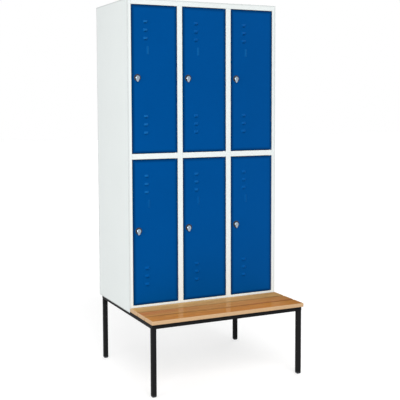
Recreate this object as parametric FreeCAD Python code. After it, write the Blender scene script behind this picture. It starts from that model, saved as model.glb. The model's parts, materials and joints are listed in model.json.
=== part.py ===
import FreeCAD, Part
import math
import os

from FreeCAD import Vector

# Clothes locker with bench: three columns and two tiers of lockers on a bench frame.
# Millimetres. The origin is on the floor under the middle of the whole footprint.
# +X points to the right of someone facing the doors, +Y to the back and +Z up.

# Overall sizes
locker_width = 900.0
locker_depth = 500.0
bench_reach = 315.0
total_height = 2050.0
seat_height = 400.0

# Folded sheet steel of the carcass and doors
sheet = 1.0
bend = 1.0
wall_flange = 12.0

# Front posts and rails of the carcass
outer_post = 21.0
inner_post = 30.0
rail_height = 30.0
stop_lip = 8.0
lip_notch = 2.0
post_return = 10.0

# Lower edge of the side walls and the folds of floor and shelves
skirt_drop = 6.0
base_lip = 50.0
shelf_flange = 18.0

# Doors
door_depth = 18.0
door_lip = 12.0
lock_gap = 2.0
edge_gap = 2.0
stop_gap = 1.0
hinge_inset = 8.0
hinge_setback = 6.0
swing_clearance = 1.0
stiffener_inset = 150.0
stiffener_width = 24.0
stiffener_depth = 11.0
stiffener_foot = 9.0
stiffener_margin = 30.0

# Pivot pins of the doors
pin_radius = 3.0
pin_reach = 16.0
pin_head = 3.0
running_clearance = 0.05
pivot_wall = 2.0
pivot_floor = 4.0
washer_radius = 5.5

# Louvres and label bead pressed out of a door
vent_inset = 79.0
vent_width = 24.0
vent_height = 13.0
vent_rise = 6.0
vent_brow = 2.0
vent_pitch = 44.0
vent_rows = 3
vent_top_drop = 92.0
vent_bottom_rise = 105.0
label_inset = 92.0
label_width = 13.0
label_height = 43.0
label_drop = 238.0
label_rise = 1.2

# Turn latch
lock_inset = 32.0
lock_lift = 10.0
rosette_radius = 19.0
rosette_thickness = 1.5
rosette_edge = 0.8
barrel_radius = 9.0
barrel_collar = 2.0
collar_thickness = 2.0
fit_clearance = 0.1
turn_gap = 0.3
knob_radius = 12.0
knob_tip_radius = 5.5
knob_tip_distance = 17.0
knob_thickness = 8.5
knob_edge = 2.5
keyway_width = 1.6
keyway_height = 7.0
keyway_depth = 3.0
spindle_radius = 4.0
tang_width = 5.0
cam_radius = 9.0
cam_tip_radius = 6.0
cam_tip_distance = 25.0
cam_thickness = 2.5
cam_gap = 0.5
rivet_radius = 5.0
rivet_thickness = 1.5

# Coat rails
coat_rail_radius = 7.5
coat_rail_drop = 60.0
rail_flange_radius = 15.0
rail_flange = 3.0

# Bench frame
tube = 25.0
tube_wall = 2.0
tube_corner = 3.0
ring_side_inset = 5.0
ring_front_inset = 15.0
ring_rear_inset = 30.0
foot_thickness = 11.0
foot_edge = 8.0
foot_edge_steps = 4
plug_depth = 18.0
plug_clearance = 0.2

# Seat slats
slat_thickness = 20.0
slat_gap = 8.0
slat_edge = 4.0
slat_under_edge = 2.0
slat_end_edge = 1.5
slat_count = 3
seat_rear_gap = 3.0

# Screws
screw_radius = 2.25
screw_head_radius = 4.5
screw_head = 2.5
screw_bite = 15.0
screw_edge = 30.0
base_screw_radius = 3.0
base_screw_head_radius = 6.0
base_screw_bite = 3.0
base_screw_spread = 500.0

# Places worked out from the sizes above
columns = ("left", "middle", "right")
tiers = ("lower", "upper")
half_width = locker_width / 2
front = (bench_reach - locker_depth) / 2
back = front + locker_depth
seat_front = front - bench_reach
frame_top = seat_height - slat_thickness
frame_under = frame_top - tube
roof_under = total_height - sheet
opening_width = (locker_width - 2 * outer_post - 2 * inner_post) / len(columns)
column_pitch = opening_width + inner_post
tier_height = (total_height - frame_top - 3 * rail_height) / len(tiers)
tier_pitch = tier_height + rail_height
floor_top = frame_top + rail_height
rear_fold = back - sheet
post_depth = door_depth + stop_gap + sheet
wall_face = half_width - sheet
post_back = front + post_depth
partition_centres = (-column_pitch / 2, column_pitch / 2)
outer_bend = bend + sheet
rear_stop = rear_fold - sheet - bend

# The lower left opening and its door; the other five are copies of it
opening_left = -half_width + outer_post
opening_right = opening_left + opening_width
opening_bottom = floor_top
opening_top = floor_top + tier_height
hinge_gap = math.hypot(hinge_inset, hinge_setback) - hinge_inset + swing_clearance
door_left = opening_left + lock_gap
door_right = opening_right - hinge_gap
door_bottom = opening_bottom + edge_gap
door_top = opening_top - edge_gap
hinge_x = door_right - hinge_inset
hinge_y = front + hinge_setback
pin_head_radius = hinge_setback - outer_bend
lock_x = door_left + lock_inset
lock_z = (door_bottom + door_top) / 2 + lock_lift
cam_front = post_back + cam_gap

# The ring of tubes under locker and seat
ring_x = half_width - ring_side_inset
ring_front = seat_front + ring_front_inset
ring_rear = back - ring_rear_inset
tube_inside = tube - 2 * tube_wall
middle_rail_y = front + tube / 2
seat_rear = front - seat_rear_gap
slat_width = (seat_rear - seat_front - (slat_count - 1) * slat_gap) / slat_count


# Shapes that several pieces share

def block(x, y, z):
    """Box between the low and high limits in x, y and z."""
    box = Part.makeBox(x[1] - x[0], y[1] - y[0], z[1] - z[0])
    box.translate(Vector(x[0], y[0], z[0]))
    return box


def round_bar(start, direction, radius, length):
    """Solid cylinder from a start point along a direction."""
    return Part.makeCylinder(radius, length, start, direction)


def rounded_outline(points, radii):
    """Closed wire through the points, each corner rounded to its own radius."""
    edges = []
    joints = []
    for i, corner in enumerate(points):
        before = (points[i - 1] - corner).normalize()
        after = (points[(i + 1) % len(points)] - corner).normalize()
        half_angle = before.getAngle(after) / 2
        reach = radii[i] / math.tan(half_angle)
        start = corner + before * reach
        end = corner + after * reach
        if radii[i] > 0:
            depth = radii[i] / math.sin(half_angle) - radii[i]
            middle = corner + (before + after).normalize() * depth
            edges.append(Part.Arc(start, middle, end).toShape())
        joints.append((start, end))
    for previous, joint in zip(joints[-1:] + joints, joints):
        edges.append(Part.makeLine(previous[1], joint[0]))
    return Part.Wire(Part.__sortEdges__(edges))


def folded_sheet(path, run):
    """Sheet folded along an open path and drawn out along run.

    The steel lies on the left of the path, seen with run pointing at the eye.
    """
    up = Vector(run).normalize()
    normals = []
    for start, end in zip(path, path[1:]):
        normals.append(up.cross(end - start).normalize())
    outline = [path[0]]
    radii = [0.0]
    other_side = [path[0] + normals[0] * sheet]
    other_radii = [0.0]
    for corner, before, after in zip(path[1:], normals, normals[1:]):
        turns_left = before.cross(after).dot(up) > 0
        outline.append(corner)
        radii.append(outer_bend if turns_left else bend)
        other_side.append(corner + (before + after) * (sheet / (1 + before.dot(after))))
        other_radii.append(bend if turns_left else outer_bend)
    outline.append(path[-1])
    radii.append(0.0)
    other_side.append(path[-1] + normals[-1] * sheet)
    other_radii.append(0.0)
    wire = rounded_outline(outline + other_side[::-1], radii + other_radii[::-1])
    return Part.Face(wire).extrude(run)


def folded_pan(x, y, z, lip):
    """Sheet pan with its face on top, four walls folded down and lips folded in."""
    shell = block(x, y, z)
    shell = shell.makeFillet(outer_bend, edges_at(shell, z[1]))
    inside_x = (x[0] + sheet, x[1] - sheet)
    inside_y = (y[0] + sheet, y[1] - sheet)
    inside = block(inside_x, inside_y, (z[0] + sheet, z[1] - sheet))
    inside = inside.makeFillet(bend, edges_at(inside, z[1] - sheet))
    mouth = block((x[0] + lip, x[1] - lip), (y[0] + lip, y[1] - lip), (z[0], z[0] + sheet))
    return shell.cut(inside).cut(mouth)


def edges_at(shape, height):
    """Edges of a shape that lie flat at one height."""
    flat = []
    for edge in shape.Edges:
        if all(abs(vertex.Z - height) < 1e-6 for vertex in edge.Vertexes):
            flat.append(edge)
    return flat


def square_tube(start, run):
    """Square hollow section with rounded corners, centred on start and drawn along run."""
    along = Vector(run).normalize()
    side = Vector(1, 0, 0) if abs(along.x) < 0.5 else Vector(0, 1, 0)
    up = along.cross(side)
    outside = Part.Face(square_section(start, side, up, tube / 2, tube_corner)).extrude(run)
    inside = square_section(start, side, up, tube_inside / 2, tube_corner - tube_wall)
    return outside.cut(Part.Face(inside).extrude(run))


def square_section(centre, side, up, half, corner):
    """Wire of a rounded square round a centre."""
    points = []
    for across, along in ((-1, -1), (1, -1), (1, 1), (-1, 1)):
        points.append(centre + side * (across * half) + up * (along * half))
    return rounded_outline(points, [corner] * len(points))


def teardrop(y, depth, radius, tip_radius, tip_distance):
    """Upright teardrop plate on the latch axis, wide end on the axis and tip below."""
    slope = (radius - tip_radius) / tip_distance
    level = math.sqrt(1 - slope * slope)
    centre = Vector(lock_x, y, lock_z)
    tip = centre - Vector(0, 0, tip_distance)
    right = Vector(level, 0, -slope)
    left = Vector(-level, 0, -slope)
    down = Vector(0, 0, -1)
    head = Part.Arc(centre + left * radius, centre - down * radius, centre + right * radius)
    tail = Part.Arc(tip + right * tip_radius, tip + down * tip_radius, tip + left * tip_radius)
    right_side = Part.makeLine(centre + right * radius, tip + right * tip_radius)
    left_side = Part.makeLine(tip + left * tip_radius, centre + left * radius)
    wire = Part.Wire([head.toShape(), right_side, tail.toShape(), left_side])
    return Part.Face(wire).extrude(Vector(0, depth, 0))


def in_opening(shape, column, tier):
    """Copy of a piece of the lower left opening, moved to another opening."""
    copy = shape.copy()
    copy.translate(Vector(column * column_pitch, 0, tier * tier_pitch))
    return copy


def plan(points, height):
    """Points of a floor plan at one height."""
    return [Vector(x, y, height) for x, y in points]


# Carcass

def compartment_walls(column):
    """Inner faces of the two walls beside a column."""
    left = -wall_face if column == 0 else partition_centres[column - 1] + sheet / 2
    right = wall_face if column == len(columns) - 1 else partition_centres[column] - sheet / 2
    return left, right


def lip_notches(post_side):
    """Blocks that take the stop lip away behind the bottom, middle and top rails."""
    notches = []
    for level in range(len(tiers) + 1):
        low = frame_top + level * tier_pitch - lip_notch
        high = low + rail_height + 2 * lip_notch
        notches.append(block((post_side, post_side + stop_lip), (front + outer_bend, post_back), (low, high)))
    return notches


def skirt(low_x):
    """Flat lower edge of a side wall, hanging down outside the tubes."""
    y = (front + outer_bend, rear_fold - outer_bend)
    return block((low_x, low_x + sheet), y, (frame_top - skirt_drop, frame_top))


def left_side_panel():
    path = plan((
        (-half_width + wall_flange, rear_fold),
        (-half_width, rear_fold),
        (-half_width, front),
        (opening_left, front),
        (opening_left, post_back - sheet),
        (opening_left + stop_lip, post_back - sheet),
    ), frame_top)
    panel = folded_sheet(path, Vector(0, 0, roof_under - frame_top))
    panel = panel.cut(lip_notches(opening_left))
    return panel.fuse(skirt(-half_width)).removeSplitter()


def right_side_panel():
    post_face = half_width - outer_post
    path = plan((
        (post_face + post_return, post_back),
        (post_face, post_back),
        (post_face, front),
        (half_width, front),
        (half_width, rear_fold),
        (half_width - wall_flange, rear_fold),
    ), frame_top)
    panel = folded_sheet(path, Vector(0, 0, roof_under - frame_top))
    return panel.fuse(skirt(wall_face)).removeSplitter()


def partition(centre):
    """Wall between two columns, folded at its front into a hollow post."""
    wall = centre - sheet / 2
    post_left = centre - inner_post / 2
    post_right = centre + inner_post / 2
    path = plan((
        (wall - wall_flange, rear_fold - sheet),
        (wall, rear_fold - sheet),
        (wall, post_back),
        (post_left, post_back),
        (post_left, front),
        (post_right, front),
        (post_right, post_back - sheet),
        (post_right + stop_lip, post_back - sheet),
    ), floor_top)
    folded = folded_sheet(path, Vector(0, 0, roof_under - floor_top))
    top_rail_space = block((post_left, post_right + stop_lip), (front, post_back),
                           (total_height - rail_height, roof_under))
    return folded.cut(lip_notches(post_right)).cut(top_rail_space)


def back_panel():
    return block((-half_width, half_width), (rear_fold, back), (frame_top, roof_under))


def top_panel():
    rail_bottom = total_height - rail_height
    path = [
        Vector(-half_width, back, total_height),
        Vector(-half_width, front, total_height),
        Vector(-half_width, front, rail_bottom),
        Vector(-half_width, post_back, rail_bottom),
    ]
    panel = folded_sheet(path, Vector(locker_width, 0, 0))
    fold = ((front, post_back), (rail_bottom, roof_under))
    post_left = block((-half_width, opening_left), *fold)
    post_right = block((half_width - outer_post, half_width), *fold)
    return panel.cut([post_left, post_right] + pin_holes(rail_bottom))


def bottom_panel():
    pan = folded_pan((-wall_face, wall_face), (front, rear_stop), (frame_top, floor_top), base_lip)
    post = ((front, post_back), (frame_top, floor_top))
    post_left = block((-wall_face, opening_left), *post)
    post_right = block((half_width - outer_post, wall_face), *post)
    holes = pin_holes(floor_top - sheet)
    for place in base_screw_places():
        holes.append(round_bar(place, Vector(0, 0, 1), base_screw_radius + fit_clearance, tube + sheet))
    return pan.cut([post_left, post_right] + holes)


def shelf(column):
    """Floor of an upper locker with its front rail, rear fold and side folds."""
    left, right = compartment_walls(column)
    rail_left = opening_left + column * column_pitch
    rail_bottom = opening_top
    top = opening_top + rail_height
    rear = rear_stop
    path = [
        Vector(left, rear, top - shelf_flange),
        Vector(left, rear, top),
        Vector(left, front, top),
        Vector(left, front, rail_bottom),
        Vector(left, post_back, rail_bottom),
    ]
    folded = folded_sheet(path, Vector(right - left, 0, 0))
    side_y = (post_back + bend, rear - outer_bend)
    side_z = (top - shelf_flange, top - sheet)
    side_left = block((left, left + sheet), side_y, side_z)
    side_right = block((right - sheet, right), side_y, side_z)
    post_space = ((front, post_back + bend), (rail_bottom, top))
    post_left = block((left, rail_left), *post_space)
    post_right = block((rail_left + opening_width, right), *post_space)
    folded = folded.cut([post_left, post_right]).fuse([side_left, side_right]).removeSplitter()
    return folded.cut(pin_holes(rail_bottom) + pin_holes(top - sheet))


# Doors and their pivots

def pin_holes(level):
    """Holes for the pivot pins of every column in a sheet whose underside is at a level."""
    holes = []
    for column in range(len(columns)):
        start = Vector(hinge_x + column * column_pitch, hinge_y, level)
        holes.append(round_bar(start, Vector(0, 0, 1), pin_radius + running_clearance, sheet))
    return holes


def pressed(door, form):
    """Door with a form pressed out of its sheet, hollow from behind."""
    hollow = form.copy()
    hollow.translate(Vector(0, sheet, 0))
    return door.fuse(form).cut(hollow)


def louvre(z):
    """Hood with sloping ends, open along its lower edge at height z."""
    x = door_left + vent_inset
    half = vent_width / 2
    return Part.makeWedge(
        x - half + vent_rise, front - vent_rise, z, z, x - half,
        x + half - vent_rise, front, z + vent_brow, z + vent_height, x + half)


def label_bead():
    """Low upright bead where a name card is stuck on."""
    x = door_left + label_inset
    z = door_top - label_drop
    half_x = label_width / 2
    half_z = label_height / 2
    return Part.makeWedge(
        x - half_x + label_rise, front - label_rise, z - half_z + label_rise, z - half_z, x - half_x,
        x + half_x - label_rise, front, z + half_z - label_rise, z + half_z, x + half_x)


def stiffener():
    """Hat-shaped rail welded upright to the inside of the door."""
    x = door_left + stiffener_inset
    half = stiffener_width / 2
    inner_face = front + sheet
    path = plan((
        (x - half - stiffener_foot, inner_face),
        (x - half, inner_face),
        (x - half, inner_face + stiffener_depth),
        (x + half, inner_face + stiffener_depth),
        (x + half, inner_face),
        (x + half + stiffener_foot, inner_face),
    ), door_bottom + stiffener_margin)
    return folded_sheet(path, Vector(0, 0, door_top - door_bottom - 2 * stiffener_margin))


def pivot_block(low, high):
    """Block in the hinge corner of the door that takes a pin."""
    reach = pin_radius + running_clearance + pivot_wall
    return block((hinge_x - reach, door_right - sheet), (front + sheet, hinge_y + reach), (low, high))


def door():
    height = door_top - door_bottom
    pan = folded_pan((door_left, door_right), (0, height), (-door_depth, 0), door_lip)
    pan.rotate(Vector(0, 0, 0), Vector(1, 0, 0), 90)
    pan.translate(Vector(0, front, door_bottom))
    pivot_height = pin_reach + pivot_floor
    lower_block = pivot_block(door_bottom + sheet, door_bottom + pivot_height)
    upper_block = pivot_block(door_top - pivot_height, door_top - sheet)
    leaf = pan.fuse([lower_block, upper_block, stiffener()])
    for row in range(vent_rows):
        leaf = pressed(leaf, louvre(door_top - vent_top_drop - row * vent_pitch))
        leaf = pressed(leaf, louvre(door_bottom + vent_bottom_rise + row * vent_pitch))
    leaf = pressed(leaf, label_bead())
    bore = pin_radius + running_clearance
    lower_bore = round_bar(Vector(hinge_x, hinge_y, door_bottom), Vector(0, 0, 1), bore, pin_reach + sheet)
    upper_bore = round_bar(Vector(hinge_x, hinge_y, door_top), Vector(0, 0, -1), bore, pin_reach + sheet)
    lock_hole = round_bar(Vector(lock_x, front, lock_z), Vector(0, 1, 0), barrel_radius + fit_clearance, sheet)
    return leaf.cut([lower_bore, upper_bore, lock_hole]).removeSplitter()


def hinge_pin(sheet_level, upwards):
    """Pin whose head lies on the hidden side of a rail's sheet and whose shank enters the door."""
    direction = Vector(0, 0, 1 if upwards else -1)
    seat = Vector(hinge_x, hinge_y, sheet_level)
    head = round_bar(seat - direction * pin_head, direction, pin_head_radius, pin_head)
    shank = round_bar(seat, direction, pin_radius, sheet + edge_gap + pin_reach)
    return head.fuse(shank).removeSplitter()


def hinge_washer():
    """Wear washer on the lower pin, between the rail and the door."""
    base = Vector(hinge_x, hinge_y, opening_bottom)
    ring = round_bar(base, Vector(0, 0, 1), washer_radius, edge_gap)
    return ring.cut(round_bar(base, Vector(0, 0, 1), pin_radius + running_clearance, edge_gap))


# Turn latch

def lock_housing():
    """Rosette on the door with a barrel through it, crimped behind the sheet."""
    face = front - rosette_thickness
    bore = spindle_radius + running_clearance
    barrel_end = post_back
    collar_radius = barrel_radius + barrel_collar
    collar_start = front + sheet
    rosette_rim = rosette_radius - rosette_edge
    points = [
        Vector(lock_x + bore, face, lock_z),
        Vector(lock_x + rosette_rim, face, lock_z),
        Vector(lock_x + rosette_radius, face + rosette_edge, lock_z),
        Vector(lock_x + rosette_radius, front, lock_z),
        Vector(lock_x + barrel_radius, front, lock_z),
        Vector(lock_x + barrel_radius, collar_start, lock_z),
        Vector(lock_x + collar_radius, collar_start, lock_z),
        Vector(lock_x + collar_radius, collar_start + collar_thickness, lock_z),
        Vector(lock_x + barrel_radius, collar_start + collar_thickness, lock_z),
        Vector(lock_x + barrel_radius, barrel_end, lock_z),
        Vector(lock_x + bore, barrel_end, lock_z),
    ]
    section = Part.Face(Part.makePolygon(points + points[:1]))
    return section.revolve(Vector(lock_x, 0, lock_z), Vector(0, 1, 0), 360)


def lock_knob():
    """Teardrop knob with its spindle, square tang and riveted end."""
    knob_back = front - rosette_thickness - turn_gap
    knob_front = knob_back - knob_thickness
    grip = teardrop(knob_back, -knob_thickness, knob_radius, knob_tip_radius, knob_tip_distance)
    rim = [edge for edge in grip.Edges if all(abs(v.Y - knob_front) < 1e-6 for v in edge.Vertexes)]
    grip = grip.makeChamfer(knob_edge, rim)
    keyway = block((lock_x - keyway_width / 2, lock_x + keyway_width / 2),
                   (knob_front, knob_front + keyway_depth),
                   (lock_z - keyway_height / 2, lock_z + keyway_height / 2))
    backwards = Vector(0, 1, 0)
    spindle = round_bar(Vector(lock_x, knob_back, lock_z), backwards, spindle_radius, cam_front - knob_back)
    tang = block((lock_x - tang_width / 2, lock_x + tang_width / 2),
                 (cam_front, cam_front + cam_thickness),
                 (lock_z - tang_width / 2, lock_z + tang_width / 2))
    rivet_start = Vector(lock_x, cam_front + cam_thickness, lock_z)
    rivet = round_bar(rivet_start, backwards, rivet_radius, rivet_thickness)
    return grip.cut(keyway).fuse([spindle, tang, rivet]).removeSplitter()


def lock_cam():
    """Latch bar on the square tang; it hangs down when the latch is open."""
    bar = teardrop(cam_front, cam_thickness, cam_radius, cam_tip_radius, cam_tip_distance)
    half = tang_width / 2 + running_clearance
    square = block((lock_x - half, lock_x + half), (cam_front, cam_front + cam_thickness),
                   (lock_z - half, lock_z + half))
    return bar.cut(square)


# Coat rails

def coat_rail(column, tier):
    """Bar across one compartment with a round flange welded to each end."""
    left, right = compartment_walls(column)
    start = Vector(left, front + locker_depth / 2, opening_top - coat_rail_drop + tier * tier_pitch)
    inwards = Vector(1, 0, 0)
    far_flange = start + inwards * (right - left - rail_flange)
    bar = round_bar(start, inwards, coat_rail_radius, right - left)
    flanges = []
    for place in (start, far_flange):
        flanges.append(round_bar(place, inwards, rail_flange_radius, rail_flange))
    return bar.fuse(flanges).removeSplitter()


# Bench frame

def mitre_wedges(along_x):
    """Prisms that cut the ends of the ring's rails to 45 degrees."""
    wedges = []
    for side in (-1, 1):
        for outer_y, inner_y in ((ring_front, ring_front + tube), (ring_rear, ring_rear - tube)):
            outer = Vector(side * ring_x, outer_y, frame_under)
            inner = Vector(side * (ring_x - tube), inner_y, frame_under)
            if along_x:
                third = Vector(outer.x, inner.y, frame_under)
            else:
                third = Vector(inner.x, outer.y, frame_under)
            face = Part.Face(Part.makePolygon([outer, inner, third, outer]))
            wedges.append(face.extrude(Vector(0, 0, tube)))
    return wedges


def cross_rail(y, half_length):
    start = Vector(-half_length, y, frame_under + tube / 2)
    return square_tube(start, Vector(2 * half_length, 0, 0))


def ring_rail_across(y):
    return cross_rail(y, ring_x).cut(mitre_wedges(True))


def side_rail(side):
    start = Vector(side * (ring_x - tube / 2), ring_front, frame_under + tube / 2)
    rail = square_tube(start, Vector(0, ring_rear - ring_front, 0))
    return rail.cut(mitre_wedges(False) + slat_screw_holes())


def seat_support_rail():
    start = Vector(0, ring_front + tube, frame_under + tube / 2)
    rail = square_tube(start, Vector(0, front - ring_front - tube, 0))
    return rail.cut(slat_screw_holes())


def leg(place):
    return square_tube(place + Vector(0, 0, foot_thickness), Vector(0, 0, frame_under - foot_thickness))


def leg_places():
    """Centre of each leg on the floor, by name."""
    x = ring_x - tube / 2
    return {
        "leg_front_left": Vector(-x, ring_front + tube / 2, 0),
        "leg_front_right": Vector(x, ring_front + tube / 2, 0),
        "leg_rear_left": Vector(-x, ring_rear - tube / 2, 0),
        "leg_rear_right": Vector(x, ring_rear - tube / 2, 0),
    }


def foot_cap(place):
    """Plastic glide, rounded off below, with a plug that sits inside the leg."""
    side = Vector(1, 0, 0)
    up = Vector(0, 1, 0)
    sections = []
    for step in range(foot_edge_steps + 1):
        turn = math.pi / 2 * step / foot_edge_steps
        half = tube / 2 - foot_edge * (1 - math.sin(turn))
        level = place + Vector(0, 0, foot_edge * (1 - math.cos(turn)))
        sections.append(square_section(level, side, up, half, tube_corner * half / (tube / 2)))
    sole = Part.makeLoft(sections, True, True)
    pad = Part.Face(sections[-1]).extrude(Vector(0, 0, foot_thickness - foot_edge))
    plug_half = tube_inside / 2 - plug_clearance
    plug_corner = tube_corner - tube_wall
    plug_base = place + Vector(0, 0, foot_thickness)
    plug = Part.Face(square_section(plug_base, side, up, plug_half, plug_corner))
    return pad.fuse([sole, plug.extrude(Vector(0, 0, plug_depth))]).removeSplitter()


# Seat

def slat_centre(index):
    return seat_front + slat_width / 2 + index * (slat_width + slat_gap)


def seat_slat(index):
    """Lacquered slat with well rounded upper edges and drilled for its screws."""
    y_low = slat_centre(index) - slat_width / 2
    y_high = y_low + slat_width
    section = [
        Vector(-half_width, y_low, frame_top),
        Vector(-half_width, y_high, frame_top),
        Vector(-half_width, y_high, seat_height),
        Vector(-half_width, y_low, seat_height),
    ]
    wire = rounded_outline(section, [slat_under_edge, slat_under_edge, slat_edge, slat_edge])
    slat = Part.Face(wire).extrude(Vector(locker_width, 0, 0))
    ends = [edge for edge in slat.Edges if edge.BoundBox.XLength < sheet]
    return slat.makeChamfer(slat_end_edge, ends).cut(slat_screw_holes())


def slat_screw_places():
    """Underside points of the rails along Y where each slat is screwed on."""
    side_x = ring_x - tube / 2
    places = []
    for x in (-side_x, 0, side_x):
        for index in range(slat_count):
            y = slat_centre(index) + slat_width / 2 - screw_edge
            places.append(Vector(x, y, frame_under))
    return places


def slat_screw_holes():
    holes = []
    for place in slat_screw_places():
        holes.append(round_bar(place, Vector(0, 0, 1), screw_radius + running_clearance, tube + screw_bite))
    return holes


def base_screw_places():
    """Underside points of the cross rails where the locker is screwed down."""
    places = []
    for y in (middle_rail_y, ring_rear - tube / 2):
        for x in (-base_screw_spread / 2, base_screw_spread / 2):
            places.append(Vector(x, y, frame_under))
    return places


def base_screw_holes():
    holes = []
    for place in base_screw_places():
        holes.append(round_bar(place, Vector(0, 0, 1), base_screw_radius + fit_clearance, tube))
    return holes


def screw(place, radius, head_radius, length):
    """Screw driven up from below, its head against the underside of a tube."""
    up = Vector(0, 0, 1)
    head = round_bar(place - up * screw_head, up, head_radius, screw_head)
    return head.fuse(round_bar(place, up, radius, length)).removeSplitter()


# Every node by name

def carcass_nodes():
    nodes = {
        "left_side_panel": left_side_panel(),
        "right_side_panel": right_side_panel(),
        "back_panel": back_panel(),
        "top_panel": top_panel(),
        "bottom_panel": bottom_panel(),
        "left_partition": partition(partition_centres[0]),
        "right_partition": partition(partition_centres[1]),
    }
    for column, column_name in enumerate(columns):
        nodes["shelf_" + column_name] = shelf(column)
    return nodes


def coat_rail_nodes():
    nodes = {}
    for tier, tier_name in enumerate(tiers):
        for column, column_name in enumerate(columns):
            nodes["coat_rail_" + tier_name + "_" + column_name] = coat_rail(column, tier)
    return nodes


def door_nodes():
    pieces = {
        "door": door(),
        "lock_housing": lock_housing(),
        "lock_knob": lock_knob(),
        "lock_cam": lock_cam(),
    }
    lower_pin = hinge_pin(opening_bottom - sheet, True)
    upper_pin = hinge_pin(opening_top + sheet, False)
    washer = hinge_washer()
    nodes = {}
    pins = []
    washers = []
    for tier, tier_name in enumerate(tiers):
        for column, column_name in enumerate(columns):
            for piece_name, piece in pieces.items():
                node = piece_name + "_" + tier_name + "_" + column_name
                nodes[node] = in_opening(piece, column, tier)
            pins.append(in_opening(lower_pin, column, tier))
            pins.append(in_opening(upper_pin, column, tier))
            washers.append(in_opening(washer, column, tier))
    nodes["hinge_pins"] = Part.makeCompound(pins)
    nodes["hinge_washers"] = Part.makeCompound(washers)
    return nodes


def bench_nodes():
    nodes = {
        "side_rail_left": side_rail(-1),
        "side_rail_right": side_rail(1),
        "front_rail": ring_rail_across(ring_front + tube / 2),
        "rear_rail": ring_rail_across(ring_rear - tube / 2).cut(base_screw_holes()),
        "middle_rail": cross_rail(middle_rail_y, ring_x - tube).cut(base_screw_holes()),
        "seat_support_rail": seat_support_rail(),
    }
    feet = []
    for name, place in leg_places().items():
        nodes[name] = leg(place)
        feet.append(foot_cap(place))
    nodes["foot_caps"] = Part.makeCompound(feet)
    for index, name in enumerate(("front", "middle", "rear")):
        nodes["seat_slat_" + name] = seat_slat(index)
    slat_screws = []
    for place in slat_screw_places():
        slat_screws.append(screw(place, screw_radius, screw_head_radius, tube + screw_bite))
    base_screws = []
    for place in base_screw_places():
        length = tube + sheet + base_screw_bite
        base_screws.append(screw(place, base_screw_radius, base_screw_head_radius, length))
    nodes["slat_screws"] = Part.makeCompound(slat_screws)
    nodes["base_screws"] = Part.makeCompound(base_screws)
    return nodes


os.makedirs("parts", exist_ok=True)
for nodes in (carcass_nodes(), coat_rail_nodes(), door_nodes(), bench_nodes()):
    for name, shape in nodes.items():
        shape.exportStep("parts/" + name + ".step")
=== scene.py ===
import json
import math

import bmesh
import bpy
from mathutils import Matrix, Vector


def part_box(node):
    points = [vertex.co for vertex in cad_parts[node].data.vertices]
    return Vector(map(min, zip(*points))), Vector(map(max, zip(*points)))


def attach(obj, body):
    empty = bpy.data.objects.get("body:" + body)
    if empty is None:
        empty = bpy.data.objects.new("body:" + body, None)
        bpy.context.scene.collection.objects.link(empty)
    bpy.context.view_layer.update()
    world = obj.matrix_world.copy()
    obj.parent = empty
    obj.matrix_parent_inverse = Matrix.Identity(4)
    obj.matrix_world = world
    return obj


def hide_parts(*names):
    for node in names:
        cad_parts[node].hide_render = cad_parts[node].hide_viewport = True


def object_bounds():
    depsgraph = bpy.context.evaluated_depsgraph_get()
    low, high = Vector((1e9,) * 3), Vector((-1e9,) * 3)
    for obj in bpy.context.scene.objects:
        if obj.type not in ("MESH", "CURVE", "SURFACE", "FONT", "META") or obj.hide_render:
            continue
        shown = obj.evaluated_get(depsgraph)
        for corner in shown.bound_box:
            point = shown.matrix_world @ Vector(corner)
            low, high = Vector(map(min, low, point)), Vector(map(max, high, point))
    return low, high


bl_info = {
    "name": "Clothes locker with bench",
    "version": (1, 0, 0),
    "blender": (4, 5, 0),
    "location": "3D View > Sidebar > Locker",
    "description": "Paint, wood, metal, welds and screws of a clothes locker on a bench frame, and its stage",
    "category": "Object",
}

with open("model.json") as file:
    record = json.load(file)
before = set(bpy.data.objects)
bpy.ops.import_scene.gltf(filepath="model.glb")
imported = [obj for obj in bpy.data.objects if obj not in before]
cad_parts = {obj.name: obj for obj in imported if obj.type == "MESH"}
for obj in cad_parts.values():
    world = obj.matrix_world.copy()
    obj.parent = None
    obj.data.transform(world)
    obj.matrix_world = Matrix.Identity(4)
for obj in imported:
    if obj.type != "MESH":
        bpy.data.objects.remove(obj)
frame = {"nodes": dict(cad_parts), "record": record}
cad_low, cad_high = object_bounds()

# Names of the solids that each finish goes on
LOCKERS = [tier + "_" + column for tier in ("lower", "upper") for column in ("left", "middle", "right")]
SHEET_PANELS = (
    "left_side_panel", "right_side_panel", "back_panel", "top_panel", "bottom_panel",
    "left_partition", "right_partition", "shelf_left", "shelf_middle", "shelf_right",
)
LEGS = ("leg_front_left", "leg_front_right", "leg_rear_left", "leg_rear_right")
BUTTED_RAILS = ("middle_rail", "seat_support_rail")
RAILS = ("side_rail_left", "side_rail_right", "front_rail", "rear_rail", *BUTTED_RAILS)
SCREWED_RAILS = ("side_rail_left", "seat_support_rail", "side_rail_right")
MAIN_BODY = "locker"

# Share of the painted highlight on the label beads of a tier, and on the lower and upper louvres of a door
BEAD_HIGHLIGHT = {"lower": 0.35, "upper": 0.80}
LOUVRE_HIGHLIGHT = {
    "upper_left": (1.0, 1.0),
    "upper_middle": (0.2, 0.0),
    "upper_right": (0.1, 0.0),
    "lower_left": (0.0, 1.0),
    "lower_middle": (0.0, 0.6),
    "lower_right": (0.0, 0.15),
}

# How far in front of the carcass the painted highlight of a bead and of a louvre starts, and is full
BEAD_HIGHLIGHT_RISE = (0.0002, 0.0010)
LOUVRE_HIGHLIGHT_RISE = (0.0013, 0.0020)

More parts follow.
